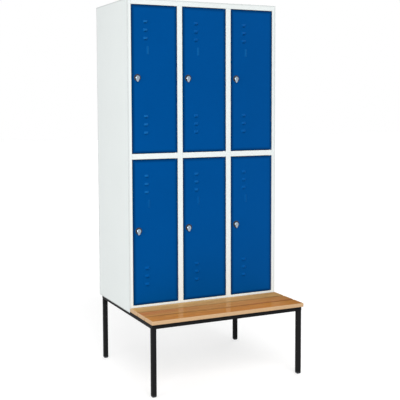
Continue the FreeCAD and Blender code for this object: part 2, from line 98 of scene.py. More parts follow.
# Cut of each slat: tint of its beech, colour and share of its blush, and the log's middle below it
AMBER = (0.60, 0.23, 0.040)
RED_HEART = (0.56, 0.21, 0.060)
HONEY = (0.66, 0.42, 0.15)
SLAT_CUTS = {
    "seat_slat_front": ((0.97, 0.78, 0.42), AMBER, 0.50, (0.35, 0.285, -0.33)),
    "seat_slat_middle": ((0.93, 0.81, 0.57), RED_HEART, 0.75, (1.60, 0.330, -0.35)),
    "seat_slat_rear": ((1.08, 1.10, 1.06), HONEY, 0.60, (2.85, 0.150, -0.34)),
}

# Roughness of each plating, and the contrast of its crystal patches
SATIN = (0.24, 0.02)
DULL = (0.38, 0.12)
BRIGHT = (0.26, 0.05)

# Strength and depth of the fine relief of each kind of surface
PAINT_RELIEF = (0.35, 0.00012)
PLATING_RELIEF = (0.12, 0.00005)
PLASTIC_RELIEF = (0.40, 0.00010)
WOOD_RELIEF = (0.15, 0.00030)

# Range that most values of a noise lie in
NOISE_LOW = 0.3
NOISE_HIGH = 0.7

WHITE = (1.0, 1.0, 1.0)


# Sizes and colours that a user would change

def slot_colour(slot):
    """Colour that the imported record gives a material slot."""
    for material in frame["record"]["materials"]:
        if material["slot"] == slot:
            return tuple(material["base_color"])
    raise KeyError("the record has no material slot named " + slot)


def colour_setting(label, text, default):
    return bpy.props.FloatVectorProperty(
        name=label, description=text, default=default, size=3, min=0.0, max=1.0, subtype="COLOR")


def length_setting(label, text, default):
    return bpy.props.FloatProperty(
        name=label, description=text, default=default, min=0.0, unit="LENGTH", subtype="DISTANCE")


def place_setting(label, text, default):
    return bpy.props.FloatVectorProperty(
        name=label, description=text, default=default, size=3, unit="LENGTH", subtype="TRANSLATION")


def share_setting(label, text, default):
    return bpy.props.FloatProperty(
        name=label, description=text, default=default, min=0.0, max=1.0, subtype="FACTOR")


def level_setting(label, text, default):
    return bpy.props.FloatProperty(
        name=label, description=text + ", as the share of white that it makes of a white sheet facing it",
        default=default, min=0.0)


def angle_setting(label, text, default):
    return bpy.props.FloatProperty(
        name=label, description=text, default=default, unit="ROTATION", subtype="ANGLE")


class LockerFinish(bpy.types.PropertyGroup):
    """Colours and gloss of the painted, wooden, plated and moulded surfaces."""

    carcass_paint: colour_setting(
        "Carcass paint", "Powder coat of walls, posts, rails and shelves", (0.85, 0.895, 0.885))
    carcass_roughness: share_setting("Carcass roughness", "How matt the carcass paint is", 0.42)
    carcass_sheen: share_setting("Carcass sheen", "Strength of the carcass paint's reflections", 0.12)
    carcass_cloud: share_setting("Carcass cloud", "How far the carcass paint's tone varies", 0.012)
    # Painted shade: the carcass paint is darker along the carcass's outer edges
    carcass_edge_shade: share_setting(
        "Carcass edge", "Tone of the painted shade on the carcass's outer edges", 0.72)
    edge_width: length_setting("Edge width", "How far from the carcass's edges the painted shade reaches", 0.009)
    door_paint: colour_setting(
        "Door paint", "Powder coat of the six doors", (0.0, 0.070, 0.275))
    # Painted highlight: a paler blue on the beads and louvres, for the light their slopes catch
    pressed_highlight: colour_setting(
        "Pressed highlight", "Painted highlight on what is pressed out of a door", (0.005, 0.108, 0.335))
    door_glint: colour_setting(
        "Door glint", "Colour of the door paint's reflections", (0.0, 0.30, 1.0))
    door_roughness: share_setting("Door roughness", "How matt the door paint is", 0.36)
    door_sheen: share_setting("Door sheen", "Strength of the door paint's reflections", 0.30)
    door_cloud: share_setting("Door cloud", "How far the door paint's tone varies", 0.03)
    # Painted shade: the door paint darkens towards each door's rim
    door_edge_shade: share_setting(
        "Door edge", "Tone of the painted shade on the folded edges of a door", 0.28)
    door_edge_width: length_setting(
        "Door edge width", "How far from a door's edges the painted shade reaches", 0.018)
    frame_paint: colour_setting(
        "Frame paint", "Powder coat of the bench frame", (0.017, 0.017, 0.018))
    frame_roughness: share_setting("Frame roughness", "How matt the frame paint is", 0.38)
    frame_sheen: share_setting("Frame sheen", "Strength of the frame paint's reflections", 0.01)
    frame_cloud: share_setting("Frame cloud", "How far the frame paint's tone varies", 0.05)
    early_wood: colour_setting(
        "Early wood", "Light tone of the beech between its growth rings", (0.680, 0.385, 0.150))
    late_wood: colour_setting(
        "Late wood", "Dark tone of the beech in its growth rings", (0.452, 0.208, 0.070))
    # Painted highlight: paler wood on the seat's outer edges and ends
    edge_highlight_wood: colour_setting(
        "Edge highlight", "Painted highlight on the outer edges and ends of the slats", (0.66, 0.43, 0.24))
    wood_sheen: share_setting("Wood sheen", "Strength of the bare wood's reflections", 0.0)
    # Painted shade: the seat's wood darkens towards its right end
    end_shade: share_setting(
        "End shade", "Painted shade on the wood at the right end", 0.68)
    lacquer: share_setting("Lacquer", "Weight of the clear lacquer on the seat", 0.28)
    worn_lacquer: share_setting(
        "Worn lacquer", "Weight of the lacquer at the right end, where it is worn", 0.06)
    lacquer_roughness: share_setting("Lacquer roughness", "How matt the lacquer is", 0.06)
    nickel: colour_setting(
        "Nickel", "Plating of the latch knobs", (0.36, 0.43, 0.50))
    zinc: colour_setting(
        "Zinc", "Plating of coat rails, latch bars, pins and screws", slot_colour("zinc_steel"))
    plastic: colour_setting(
        "Plastic", "Moulded rosettes and glides", slot_colour("rosette_plastic"))
    plastic_sheen: share_setting("Plastic sheen", "Strength of the plastic's reflections", 0.40)
    rosette_roughness: share_setting("Rosette roughness", "How matt the rosettes are", 0.45)
    glide_roughness: share_setting("Glide roughness", "How matt the glides are", 0.50)


class LockerDetail(bpy.types.PropertyGroup):
    """Sizes of the small details that are modelled here."""

    weld_radius: length_setting("Weld radius", "Thickness of a weld bead at its crests", 0.0026)
    weld_pitch: length_setting("Weld pitch", "Distance from crest to hollow of a weld bead", 0.0016)
    tube_corner: length_setting(
        "Tube corner", "Rounding of the square tubes, which the beads stop at", 0.003)
    screw_edge: length_setting("Screw edge", "Distance of a seat screw from its slat's rear edge", 0.030)
    screw_head: length_setting("Screw head", "Radius of a seat screw's washer face", 0.0045)
    screw_shank: length_setting("Screw shank", "Radius of a seat screw's shank", 0.00225)
    spot_radius: length_setting("Spot radius", "Radius of the spot welds on the back", 0.0034)
    spot_relief: length_setting("Spot relief", "How far the rim of a spot weld stands out", 0.0003)
    spot_inset: length_setting(
        "Spot inset", "Distance of the spot welds from the edge of a folded wall", 0.0075)
    spot_pitch: length_setting("Spot pitch", "Distance between the spot welds in a row", 0.100)


class LockerStage(bpy.types.PropertyGroup):
    """Floor, light and camera."""

    floor_colour: colour_setting("Floor", "Pale floor under the locker", (0.50, 0.50, 0.50))
    floor_half: length_setting("Floor reach", "Half the width of the floor", 30.0)
    floor_lift: share_setting(
        "Floor lift", "Light that the camera sees on the floor beside its shading", 0.58)
    sky_level: share_setting("Sky level", "Strength of the even light from all around", 0.50)
    key_level: level_setting("Key light", "Light from the front, above and left", 0.55)
    key_heading: angle_setting(
        "Key heading", "Heading of that light, to the right of the front", math.radians(-10.0))
    key_height: angle_setting("Key height", "Height of that light above the horizon", math.radians(43.0))
    rear_level: level_setting("Rear light", "Low light from the right and behind", 0.38)
    rear_heading: angle_setting(
        "Rear heading", "Heading of that light, to the right of the front", math.radians(125.0))
    rear_height: angle_setting("Rear height", "Height of that light above the horizon", math.radians(15.0))
    softness: angle_setting(
        "Softness", "Angle across the key and rear lights, as seen from the locker", math.radians(40.0))
    side_level: level_setting("Side light", "Light of the soft box at the left", 0.38)
    box_place: place_setting("Box place", "Place of the soft box", (-3.9, -1.7, 1.5))
    box_aim: place_setting("Box aim", "Place that the soft box faces", (-0.45, 0.1, 1.3))
    box_size: length_setting("Box size", "Side of the square soft box", 2.0)
    lens: bpy.props.FloatProperty(
        name="Lens", description="Focal length of the camera in millimetres",
        default=74.92, min=1.0, unit="CAMERA")
    rise: bpy.props.FloatProperty(
        name="Lens rise", description="Vertical shift of the picture, in picture widths", default=-0.08)
    eye: place_setting("Eye", "Place of the camera", (-2.0076, -4.2343, 1.4905))
    turn: angle_setting("Turn", "Turn of the camera to the right of straight ahead", 0.4456)
    tilt: angle_setting("Tilt", "Tilt of the camera below the horizon", 0.0758)
    roll: angle_setting("Roll", "Roll of the camera", -0.0031)


# Steps that the shader trees share

def feed(tree, socket, value):
    """Links a socket to another one, or sets it to a plain value."""
    if isinstance(value, bpy.types.NodeSocket):
        tree.links.new(value, socket)
    else:
        socket.default_value = value


def opaque(colour):
    return (*colour, 1.0)


def tinted(colour, tint):
    return tuple(part * share for part, share in zip(colour, tint))


def stretched(tree, vector, scale, turn=(0.0, 0.0, 0.0)):
    """Coordinates scaled along each axis and then turned."""
    mapping = tree.nodes.new("ShaderNodeMapping")
    feed(tree, mapping.inputs["Vector"], vector)
    mapping.inputs["Scale"].default_value = scale
    mapping.inputs["Rotation"].default_value = turn
    return mapping.outputs["Vector"]


def vector_step(tree, operation, first, second=(0.0, 0.0, 0.0)):
    step = tree.nodes.new("ShaderNodeVectorMath")
    step.operation = operation
    feed(tree, step.inputs[0], first)
    feed(tree, step.inputs[1], second)
    return step.outputs["Vector"]


def number_step(tree, operation, first, second):
    step = tree.nodes.new("ShaderNodeMath")
    step.operation = operation
    feed(tree, step.inputs[0], first)
    feed(tree, step.inputs[1], second)
    return step.outputs["Value"]


def total(tree, first, *others):
    """Sum of two or more numbers."""
    for other in others:
        first = number_step(tree, "ADD", first, other)
    return first


def parts_of(tree, vector):
    """The x, y and z of a vector."""
    split = tree.nodes.new("ShaderNodeSeparateXYZ")
    feed(tree, split.inputs["Vector"], vector)
    return split.outputs


def inward_distances(tree, position, middle, half_size):
    """How far a place lies inside a box along x, y and z."""
    offset = vector_step(tree, "SUBTRACT", position, middle)
    return parts_of(tree, vector_step(tree, "SUBTRACT", half_size, vector_step(tree, "ABSOLUTE", offset)))


def edge_distance(tree, position, middle, half_size):
    """How far a place on a box lies from the nearest edge: the middle one of its distances."""
    inwards = inward_distances(tree, position, middle, half_size)
    smaller = number_step(tree, "MINIMUM", inwards["X"], inwards["Y"])
    larger = number_step(tree, "MAXIMUM", inwards["X"], inwards["Y"])
    return number_step(tree, "MAXIMUM", smaller, number_step(tree, "MINIMUM", larger, inwards["Z"]))


def noise(tree, vector, scale=1.0, detail=2.0, roughness=0.5):
    texture = tree.nodes.new("ShaderNodeTexNoise")
    feed(tree, texture.inputs["Vector"], vector)
    texture.inputs["Scale"].default_value = scale
    texture.inputs["Detail"].default_value = detail
    texture.inputs["Roughness"].default_value = roughness
    return texture.outputs["Fac"]


def spread(tree, value, low, high, to_low, to_high):
    """Value from one range carried over to another, held at its ends."""
    carry = tree.nodes.new("ShaderNodeMapRange")
    carry.clamp = True
    feed(tree, carry.inputs["Value"], value)
    feed(tree, carry.inputs["From Min"], low)
    feed(tree, carry.inputs["From Max"], high)
    feed(tree, carry.inputs["To Min"], to_low)
    feed(tree, carry.inputs["To Max"], to_high)
    return carry.outputs["Result"]


def noise_spread(tree, value, to_low, to_high, count=1):
    """Sum of so many noises, carried over from the range that it mostly lies in to another."""
    return spread(tree, value, count * NOISE_LOW, count * NOISE_HIGH, to_low, to_high)


def mixed(tree, factor, first, second):
    """Colour between two colours."""
    mix = tree.nodes.new("ShaderNodeMix")
    mix.data_type = "RGBA"
    feed(tree, mix.inputs["Factor"], factor)
    feed(tree, mix.inputs["A"], first)
    feed(tree, mix.inputs["B"], second)
    return mix.outputs["Result"]


def brightened(tree, colour, value):
    """Colour whose brightness is multiplied by a value."""
    node = tree.nodes.new("ShaderNodeHueSaturation")
    feed(tree, node.inputs["Color"], colour)
    feed(tree, node.inputs["Value"], value)
    return node.outputs["Color"]


VECTOR_SOCKETS = ("Position", "Heart", "Middle", "Half Size", "Seat Middle", "Seat Half Size")


def socket_kind(label):
    if label in VECTOR_SOCKETS:
        return "NodeSocketVector"
    if label.endswith("Colour"):
        return "NodeSocketColor"
    return "NodeSocketFloat"


def effect_group(name, inputs, outputs=("Colour", "Roughness", "Height")):
    """Empty shader group with named sockets, and its two ends."""
    group = bpy.data.node_groups.new(name, "ShaderNodeTree")
    for label in inputs:
        group.interface.new_socket(label, in_out="INPUT", socket_type=socket_kind(label))
    for label in outputs:
        group.interface.new_socket(label, in_out="OUTPUT", socket_type=socket_kind(label))
    start = group.nodes.new("NodeGroupInput").outputs
    end = group.nodes.new("NodeGroupOutput").inputs
    return group, start, end


# Shader sockets that the outputs of an effect group feed
FED_SOCKETS = {"Colour": "Base Color", "Roughness": "Roughness", "Coat": "Coat Weight"}


def finish_material(name, group, values, relief):
    """Material whose colour, roughness, lacquer and relief come from an effect group, and its shader."""
    material = bpy.data.materials.new(name)
    material.use_nodes = True
    tree = material.node_tree
    shader = tree.nodes["Principled BSDF"]
    surface = tree.nodes.new("ShaderNodeGroup")
    surface.node_tree = group
    feed(tree, surface.inputs["Position"], tree.nodes.new("ShaderNodeTexCoord").outputs["Object"])
    for label, value in values.items():
        surface.inputs[label].default_value = value
    for label, socket in FED_SOCKETS.items():
        if label in surface.outputs:
            feed(tree, shader.inputs[socket], surface.outputs[label])
    strength, depth = relief
    bump = tree.nodes.new("ShaderNodeBump")
    bump.inputs["Strength"].default_value = strength
    bump.inputs["Distance"].default_value = depth
    feed(tree, bump.inputs["Height"], surface.outputs["Height"])
    feed(tree, shader.inputs["Normal"], bump.outputs["Normal"])
    return material, shader


def dress(nodes, material):
    """Puts a material on solids of the frame."""
    for name in nodes:
        for slot in frame["nodes"][name].material_slots:
            slot.material = material


# Effects

def powder_coat_group():
    """Sprayed and baked paint: orange peel, faint clouds, uneven gloss and painted shade on a box's edges."""
    peel_scale = 380.0
    grit_scale = 1700.0
    cloud_scale = 2.6
    grit_height = 0.25
    gloss_swing = 0.05
    group, start, end = effect_group("Powder coat", (
        "Position", "Paint Colour", "Mean Roughness", "Cloud",
        "Middle", "Half Size", "Edge Shade", "Edge Width"))
    position = start["Position"]
    peel = noise(group, position, peel_scale, roughness=0.4)
    grit = noise(group, position, grit_scale, detail=1.0)
    cloud = noise(group, position, cloud_scale, detail=3.0)
    darkest = number_step(group, "SUBTRACT", 1.0, start["Cloud"])
    lightest = number_step(group, "ADD", 1.0, start["Cloud"])
    tone = noise_spread(group, cloud, darkest, lightest)
    inside = edge_distance(group, position, start["Middle"], start["Half Size"])
    # Painted shade: the colour darkens towards the box's edges, down to the Edge Shade tone
    edge_shade_share = spread(group, inside, 0.0, start["Edge Width"], start["Edge Shade"], 1.0)
    tone = number_step(group, "MULTIPLY", tone, edge_shade_share)
    feed(group, end["Colour"], brightened(group, start["Paint Colour"], tone))
    uneven = noise_spread(group, total(group, cloud, peel), -gloss_swing, gloss_swing, 2)
    feed(group, end["Roughness"], total(group, start["Mean Roughness"], uneven))
    feed(group, end["Height"], total(group, peel, number_step(group, "MULTIPLY", grit, grit_height)))
    return group


def growth_rings(tree, position):
    """Saw-toothed growth rings around a log that lies nearly along x."""
    log_scale = (0.10, 1.0, 1.0)
    log_turn = (0.0, math.radians(4.0), math.radians(9.0))
    rings = tree.nodes.new("ShaderNodeTexWave")
    rings.wave_type = "RINGS"
    rings.rings_direction = "X"
    rings.wave_profile = "SAW"
    feed(tree, rings.inputs["Vector"], stretched(tree, position, log_scale, log_turn))
    rings.inputs["Scale"].default_value = 34.0
    rings.inputs["Distortion"].default_value = 5.0
    rings.inputs["Detail"].default_value = 2.0
    rings.inputs["Detail Scale"].default_value = 0.5
    return rings.outputs["Fac"]


def beech_group():
    """Flat-sawn beech: rings, fibres, flecks, streaks, painted highlight on the outer edges, painted shade in
    the joints and at the right end, and worn lacquer there.
    """
    fibre_stretch = (5.0, 330.0, 330.0)
    fleck_stretch = (70.0, 900.0, 500.0)
    board_stretch = (0.9, 13.0, 13.0)
    streak_stretch = (14.0, 60.0, 60.0)
    ring_range = (0.15, 1.0)
    board_range = (0.35, 0.65)
    blush_range = (0.40, 0.62)
    fleck_range = (0.60, 0.72)
    ring_depths = (0.0, 0.50)
    fibre_depths = (0.0, 0.38)
    board_depths = (-0.10, 0.22)
    streak_depths = (-0.30, 0.34)
    fleck_tone = 0.80
    fleck_height = 0.4
    # Painted shade on each slat's front and rear faces, in the joints between slats
    joint_shade_tone = 0.58
    joint_shade_reach = (0.0040, 0.0055)
    # Painted highlight on the seat's outer edges and ends
    rim_highlight_reach = (0.0005, 0.0065)
    # Painted shade towards the seat's right end
    end_shade_span = (0.20, 0.44)
    worn_reach = (0.20, 0.38)
    gloss_range = (0.30, 0.46)
    group, start, end = effect_group("Beech", (
        "Position", "Heart", "Middle", "Half Size", "Seat Middle", "Seat Half Size",
        "Early Colour", "Late Colour", "Edge Highlight Colour", "Blush Colour", "Blush",
        "End Shade", "Lacquer", "Worn Lacquer"), ("Colour", "Roughness", "Height", "Coat"))
    position = start["Position"]
    in_log = vector_step(group, "ADD", position, start["Heart"])
    rings = growth_rings(group, in_log)
    fibre = noise(group, stretched(group, in_log, fibre_stretch), detail=3.0, roughness=0.6)
    fleck = noise(group, stretched(group, in_log, fleck_stretch), detail=1.0)
    board = noise(group, stretched(group, in_log, board_stretch))
    streak = noise(group, stretched(group, in_log, streak_stretch))
    depth = total(
        group,
        spread(group, rings, *ring_range, *ring_depths),
        noise_spread(group, fibre, *fibre_depths),
        spread(group, board, *board_range, *board_depths),
        noise_spread(group, streak, *streak_depths))
    tone = mixed(group, depth, start["Early Colour"], start["Late Colour"])
    patch = spread(group, board, *blush_range, 0.0, 1.0)
    tone = mixed(group, number_step(group, "MULTIPLY", patch, start["Blush"]), tone, start["Blush Colour"])
    along = parts_of(group, position)["X"]
    # Painted shade: the wood darkens towards the right end
    tone = brightened(group, tone, spread(group, along, *end_shade_span, 1.0, start["End Shade"]))
    in_slat = inward_distances(group, position, start["Middle"], start["Half Size"])
    # Painted shade: each slat darkens near its front and rear faces
    tone = brightened(group, tone, spread(group, in_slat["Y"], *joint_shade_reach, joint_shade_tone, 1.0))
    in_seat = inward_distances(group, position, start["Seat Middle"], start["Seat Half Size"])
    nearest = number_step(group, "MINIMUM", in_seat["X"], in_seat["Y"])
    # Painted highlight: the wood turns paler towards the seat's outer edges and ends
    tone = mixed(group, spread(group, nearest, *rim_highlight_reach, 1.0, 0.0), tone, start["Edge Highlight Colour"])
    feed(group, end["Colour"], brightened(group, tone, spread(group, fleck, *fleck_range, 1.0, fleck_tone)))
    feed(group, end["Roughness"], noise_spread(group, fibre, *gloss_range))
    feed(group, end["Height"], total(group, fibre, number_step(group, "MULTIPLY", fleck, fleck_height)))
    feed(group, end["Coat"], spread(group, along, *worn_reach, start["Lacquer"], start["Worn Lacquer"]))
    return group


def plating_group():
    """Plated metal: crystal patches, fine polishing lines and a soft haze."""
    crystal_scale = 160.0
    haze_scale = 40.0
    line_stretch = (2400.0, 2400.0, 120.0)
    gloss_swing = 0.06
    group, start, end = effect_group(
        "Plating", ("Position", "Metal Colour", "Mean Roughness", "Patch Contrast"))
    position = start["Position"]
    crystals = group.nodes.new("ShaderNodeTexVoronoi")
    feed(group, crystals.inputs["Vector"], position)
    crystals.inputs["Scale"].default_value = crystal_scale
    patch = group.nodes.new("ShaderNodeSeparateColor")
    feed(group, patch.inputs["Color"], crystals.outputs["Color"])
    haze = noise(group, position, haze_scale, detail=3.0)
    lines = noise(group, stretched(group, position, line_stretch))
    darkest = number_step(group, "SUBTRACT", 1.0, start["Patch Contrast"])
    tone = spread(group, patch.outputs["Red"], 0.0, 1.0, darkest, 1.0)
    feed(group, end["Colour"], brightened(group, start["Metal Colour"], tone))
    uneven = noise_spread(group, total(group, haze, lines), -gloss_swing, gloss_swing, 2)
    feed(group, end["Roughness"], total(group, start["Mean Roughness"], uneven))
    feed(group, end["Height"], lines)
    return group


def moulding_group():
    """Moulded plastic: spark-eroded grain and a slightly uneven sheen."""
    grain_scale = 1500.0
    flow_scale = 60.0
    tones = (0.85, 1.15)
    gloss_swing = 0.05
    group, start, end = effect_group("Moulding", ("Position", "Plastic Colour", "Mean Roughness"))
    grain = noise(group, start["Position"], grain_scale)
    flow = noise(group, start["Position"], flow_scale)
    feed(group, end["Colour"], brightened(group, start["Plastic Colour"], noise_spread(group, flow, *tones)))
    uneven = noise_spread(group, flow, -gloss_swing, gloss_swing)
    feed(group, end["Roughness"], total(group, start["Mean Roughness"], uneven))
    feed(group, end["Height"], grain)
    return group


def effect(name, make):
    """The shared group of that name, made when it is first asked for."""
    return bpy.data.node_groups.get(name) or make()


# Materials

def paint(name, colour, roughness, sheen, cloud, box, edge_shade_tone, edge_width):
    """Powder coat on steel, with painted shade on the edges of a box."""
    low, high = box
    values = {
        "Paint Colour": opaque(colour),
        "Mean Roughness": roughness,
        "Cloud": cloud,
        "Middle": (low + high) / 2,
        "Half Size": (high - low) / 2,
        "Edge Shade": edge_shade_tone,
        "Edge Width": edge_width,
    }
    group = effect("Powder coat", powder_coat_group)
    material, shader = finish_material(name, group, values, PAINT_RELIEF)
    shader.inputs["Specular IOR Level"].default_value = sheen
    return material


def carcass_coat(name, colour, finish, edge_shade_tone):
    """White powder coat, with painted shade on the outer edges of the carcass."""
    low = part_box("left_side_panel")[0]
    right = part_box("right_side_panel")[1]
    high = Vector((right.x, right.y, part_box("top_panel")[1].z))
    return paint(
        name, colour, finish.carcass_roughness, finish.carcass_sheen, finish.carcass_cloud,
        (low, high), edge_shade_tone, finish.edge_width)


def door_coat(name, finish):
    """Blue powder coat with a blue glint, painted shade on the rim and a painted highlight on what is pressed
    out of the door.
    """
    low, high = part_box("door_" + name)
    # The outline is a box with no depth, so that its edges are those seen from the front
    outline = (low.copy(), Vector((high.x, low.y, high.z)))
    # Painted shade on the door's rim, from the door edge shade tone
    material = paint(
        "door_paint_" + name, finish.door_paint, finish.door_roughness, finish.door_sheen, finish.door_cloud,
        outline, finish.door_edge_shade, finish.door_edge_width)
    tree = material.node_tree
    shader = tree.nodes["Principled BSDF"]
    shader.inputs["Specular Tint"].default_value = opaque(finish.door_glint)
    place = parts_of(tree, tree.nodes["Texture Coordinate"].outputs["Object"])
    middle = (low.z + high.z) / 2
    blend = 0.01
    # Painted highlight: the beads and louvres, which stand out from the door, get a paler blue
    louvre_highlight = spread(tree, place["Z"], middle - blend, middle + blend, *LOUVRE_HIGHLIGHT[name])
    bead_highlight = BEAD_HIGHLIGHT[name.split("_")[0]]
    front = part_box("left_side_panel")[0].y
    bead_start, bead_full = (front - rise for rise in BEAD_HIGHLIGHT_RISE)
    louvre_start, louvre_full = (front - rise for rise in LOUVRE_HIGHLIGHT_RISE)
    pale = spread(tree, place["Y"], bead_start, bead_full, 0.0, bead_highlight)
    pale = spread(tree, place["Y"], louvre_start, louvre_full, pale, louvre_highlight)
    coat = shader.inputs["Base Color"].links[0].from_socket
    feed(tree, shader.inputs["Base Color"], mixed(tree, pale, coat, opaque(finish.pressed_highlight)))
    return material


def plating(name, colour, look):
    """Bright or dull plated metal."""
    roughness, contrast = look
    values = {"Metal Colour": opaque(colour), "Mean Roughness": roughness, "Patch Contrast": contrast}
    group = effect("Plating", plating_group)
    material, shader = finish_material(name, group, values, PLATING_RELIEF)
    shader.inputs["Metallic"].default_value = 1.0
    return material


def moulding(name, finish, roughness):
    """Black moulded plastic."""
    values = {"Plastic Colour": opaque(finish.plastic), "Mean Roughness": roughness}
    group = effect("Moulding", moulding_group)
    material, shader = finish_material(name, group, values, PLASTIC_RELIEF)
    shader.inputs["Specular IOR Level"].default_value = finish.plastic_sheen
    return material


def lacquered_beech(slat, finish):
    """Beech of one slat under clear lacquer."""
    tint, blush_colour, blush, heart = SLAT_CUTS[slat]
    low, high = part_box(slat)
    seat_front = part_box("seat_slat_front")[0]
    values = {
        "Heart": heart,
        "Middle": (low + high) / 2,
        "Half Size": (high - low) / 2,
        "Seat Middle": (seat_front + cad_high) / 2,
        "Seat Half Size": (cad_high - seat_front) / 2,
        "Edge Highlight Colour": opaque(finish.edge_highlight_wood),
        "Early Colour": opaque(tinted(finish.early_wood, tint)),
        "Late Colour": opaque(tinted(finish.late_wood, tint)),
        "Blush Colour": opaque(blush_colour),
        "Blush": blush,
        "End Shade": finish.end_shade,
        "Lacquer": finish.lacquer,
        "Worn Lacquer": finish.worn_lacquer,
    }
    group = effect("Beech", beech_group)
    material, shader = finish_material(slat + "_wood", group, values, WOOD_RELIEF)
    shader.inputs["Specular IOR Level"].default_value = finish.wood_sheen
    shader.inputs["Coat Roughness"].default_value = finish.lacquer_roughness
    return material


# Small pieces that are modelled here

def new_piece(name, mesh, material):
    """Object made of a finished bmesh, riding on the locker."""
    bmesh.ops.recalc_face_normals(mesh, faces=mesh.faces)
    data = bpy.data.meshes.new(name)
    mesh.to_mesh(data)
    mesh.free()
    data.materials.append(material)
    piece = bpy.data.objects.new(name, data)
    bpy.context.scene.collection.objects.link(piece)
    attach(piece, MAIN_BODY)
    return piece


def weld_bead(mesh, start, end, radius, pitch):
    """Rod along a seam whose thickness rises and falls like the ripples of a weld."""
    sides = 10
    crater = radius * 0.5
    hollow = radius * 0.82
    run = end - start
    steps = 2 * round(run.length / pitch / 2)
    turn = run.to_track_quat("Z", "Y").to_matrix().to_4x4()
    place = Matrix.Translation(start) @ turn
    ring = bmesh.ops.create_circle(mesh, cap_ends=True, segments=sides, radius=crater, matrix=place)
    cap = ring["verts"][0].link_faces[0]
    thickness = crater
    for step in range(1, steps + 1):
        grown = bmesh.ops.extrude_face_region(mesh, geom=[cap])["geom"]
        cap = [part for part in grown if isinstance(part, bmesh.types.BMFace)][0]
        target = radius if step % 2 else hollow
        if step == steps:
            target = crater
        size = target / thickness
        centre = cap.calc_center_median()
        bmesh.ops.scale(mesh, vec=(size, size, size), space=Matrix.Translation(-centre), verts=cap.verts)
        bmesh.ops.translate(mesh, vec=run / steps, verts=cap.verts)
        thickness = target


def leg_seams(corner):
    """Seams on the two inner sides of each leg, under the ring of tubes."""
    seams = []
    for leg in LEGS:
        low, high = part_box(leg)
        top = high.z
        inner_x = high.x if low.x < 0 else low.x
        inner_y = high.y if low.y < 0 else low.y
        seams.append((Vector((inner_x, low.y + corner, top)), Vector((inner_x, high.y - corner, top))))
        seams.append((Vector((low.x + corner, inner_y, top)), Vector((high.x - corner, inner_y, top))))
    return seams


def butt_seams(corner):
    """Upright seams where two of the rails butt against other tubes."""
    seams = []
    for rail in BUTTED_RAILS:
        low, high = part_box(rail)
        for x in (low.x, high.x):
            for y in (low.y, high.y):
                seams.append((Vector((x, y, low.z + corner)), Vector((x, y, high.z - corner))))
    return seams


def hex_screw(mesh, place, head_radius, head_height, shank_radius, shank_length):
    """Hexagon head with a pressed-on washer face, seen from below, and its shank."""
    washer_radius = head_radius * 0.94
    washer_height = head_height * 0.35
    washer_centre = place - Vector((0.0, 0.0, washer_height / 2))
    bmesh.ops.create_cone(
        mesh, cap_ends=True, segments=24, radius1=washer_radius, radius2=head_radius,
        depth=washer_height, matrix=Matrix.Translation(washer_centre))
    tip_radius = head_radius * 0.72
    root_radius = head_radius * 0.78
    hexagon_height = head_height - washer_height
    hexagon_centre = place - Vector((0.0, 0.0, washer_height + hexagon_height / 2))
    hexagon = bmesh.ops.create_cone(
        mesh, cap_ends=True, segments=6, radius1=tip_radius, radius2=root_radius,
        depth=hexagon_height, matrix=Matrix.Translation(hexagon_centre))["verts"]
    tip = [vertex for vertex in hexagon if vertex.co.z < hexagon_centre.z]
    rim = [edge for edge in mesh.edges if all(end in tip for end in edge.verts)]
    chamfer = head_height * 0.15
    bmesh.ops.bevel(
        mesh, geom=rim, offset=chamfer, offset_type="OFFSET", affect="EDGES",
        segments=2, profile=0.5, material=-1, clamp_overlap=True)
    shank_centre = place + Vector((0.0, 0.0, shank_length / 2))
    bmesh.ops.create_cone(
        mesh, cap_ends=True, segments=16, radius1=shank_radius, radius2=shank_radius,
        depth=shank_length, matrix=Matrix.Translation(shank_centre))


def spot_weld(mesh, place, radius, relief):
    """Low round button, half sunk in the sheet, with a dished middle that faces the rear."""
    rim_radius = radius * 0.85
    rim_width = radius * 0.3
    dish = relief * 0.8
    stand = Matrix.Translation(place) @ Matrix.Rotation(math.radians(-90.0), 4, "X")
    button = bmesh.ops.create_cone(
        mesh, cap_ends=True, segments=16, radius1=radius, radius2=rim_radius, depth=2 * relief, matrix=stand)
    faces = {face for vertex in button["verts"] for face in vertex.link_faces}
    rear = max(faces, key=lambda face: face.calc_center_median().y)
    bmesh.ops.inset_region(mesh, faces=[rear], thickness=rim_width, depth=-dish)


def spot_places(inset, pitch):
    """Rows of welds up the back, one on the rear fold of each wall."""
    low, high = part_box("back_panel")
    columns = [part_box(wall)[0].x + inset for wall in ("left_side_panel", "left_partition", "right_partition")]
    columns.append(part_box("right_side_panel")[1].x - inset)
    count = round((high.z - low.z) / pitch)
    step = (high.z - low.z) / count
    return [Vector((x, high.y, low.z + (row + 0.5) * step)) for x in columns for row in range(count)]


# Floor, light and camera

def seen_rays(tree):
    """1 for rays that show the backdrop itself: straight, mirrored or through glass."""
    path = tree.nodes.new("ShaderNodeLightPath").outputs
    mirrored = number_step(tree, "MAXIMUM", path["Is Glossy Ray"], path["Is Transmission Ray"])
    return number_step(tree, "MAXIMUM", path["Is Camera Ray"], mirrored)


